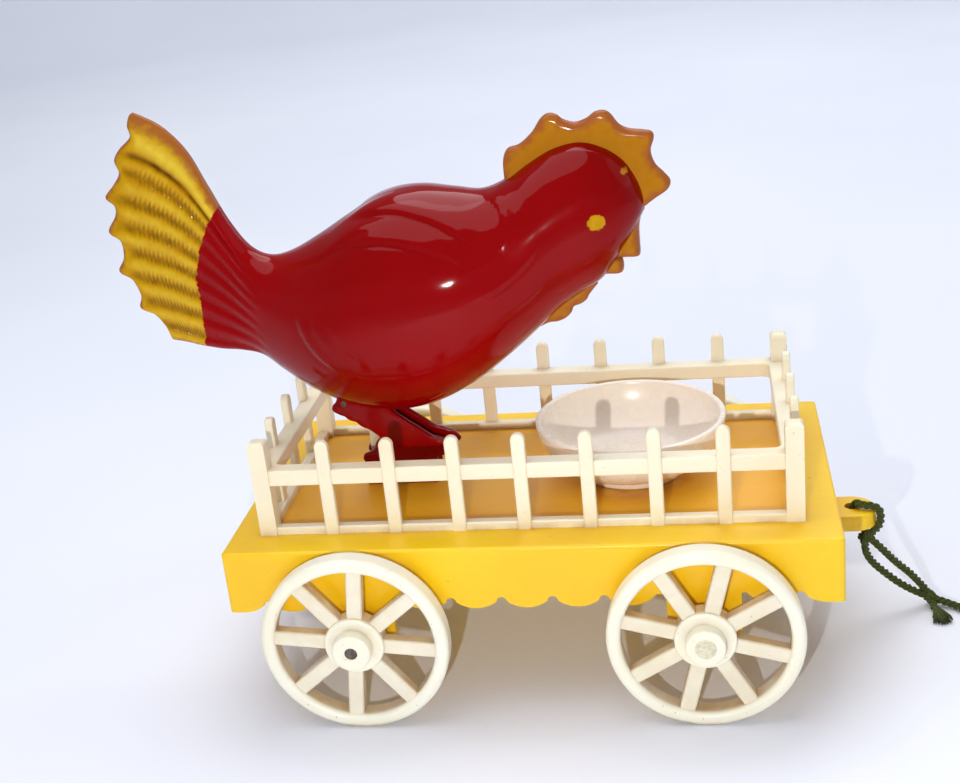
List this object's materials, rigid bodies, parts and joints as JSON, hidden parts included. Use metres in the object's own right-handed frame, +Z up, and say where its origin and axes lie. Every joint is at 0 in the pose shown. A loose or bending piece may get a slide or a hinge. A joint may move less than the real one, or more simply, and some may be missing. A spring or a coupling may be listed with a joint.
{
  "type": "pull-along pecking rooster toy",
  "caption": "Moulded plastic pull toy: a hollow rooster on a fenced cart pecks at a bowl as a cranked axle turns under it, with spoked wheels, a hitch tab and a knotted cord.",
  "frame": {"origin": "on the floor under the middle of the toy's box, without its cord", "axes": "+X along the cart towards the hitch, +Z up, +Y to the rooster's left"},
  "size_m": [0.2533, 0.1102, 0.1506],
  "materials": {
    "yellow_plastic": "semi-gloss moulded polystyrene, warm yellow",
    "fence_plastic": "semi-gloss moulded polystyrene, cream",
    "bowl_plastic": "semi-gloss moulded polystyrene, ivory",
    "red_plastic": "glossy moulded plastic, deep red",
    "rooster_red": "glossy moulded plastic, deep red, with gold paint on comb, beak, wattle, eyes and tail",
    "rod_plastic": "moulded plastic strip",
    "wheel_plastic": "semi-gloss moulded polystyrene, ivory",
    "steel_wire": "drawn steel wire, dull",
    "cord_green": "twisted cotton cord, dark green"
  },
  "bodies": {
    "cart": {"cart_deck": "yellow_plastic", "fence": "fence_plastic", "feed_bowl": "bowl_plastic", "left_leg": "red_plastic", "right_leg": "red_plastic", "pivot_pin": "steel_wire", "pull_cord": "cord_green", "tied_end": "cord_green", "hitch_knot": "cord_green", "floor_knot": "cord_green", "cord_coil": "cord_green", "end_knot": "cord_green"},
    "rooster": {"rooster_left_shell": "rooster_red", "rooster_right_shell": "rooster_red", "link_pin": "steel_wire"},
    "push_rod_body": {"push_rod": "rod_plastic"},
    "rear_wheelset": {"rear_axle": "steel_wire", "rear_left_wheel": "wheel_plastic", "rear_right_wheel": "wheel_plastic"},
    "front_wheelset": {"front_axle": "steel_wire", "front_left_wheel": "wheel_plastic", "front_right_wheel": "wheel_plastic"}
  },
  "joints": [
    {"name": "peck", "type": "hinge", "parent": "cart", "child": "rooster", "pos_m": [-0.0404, 0, 0.0698], "axis": [0, 1, 0], "range_deg": [0, 22]},
    {"name": "rod_swing", "type": "hinge", "parent": "rooster", "child": "push_rod_body", "pos_m": [-0.0333, 0, 0.0698], "axis": [0, 1, 0], "range_deg": [-22, 0]},
    {"name": "rear_wheels_roll", "type": "hinge", "parent": "cart", "child": "rear_wheelset", "pos_m": [-0.0333, 0, 0.0238], "axis": [0, 1, 0], "continuous": true},
    {"name": "front_wheels_roll", "type": "hinge", "parent": "cart", "child": "front_wheelset", "pos_m": [0.0529, 0, 0.0238], "axis": [0, 1, 0], "continuous": true}
  ],
  "couplings": [
    {"joint": "rod_swing", "follows": "peck", "ratio": -1}
  ]
}
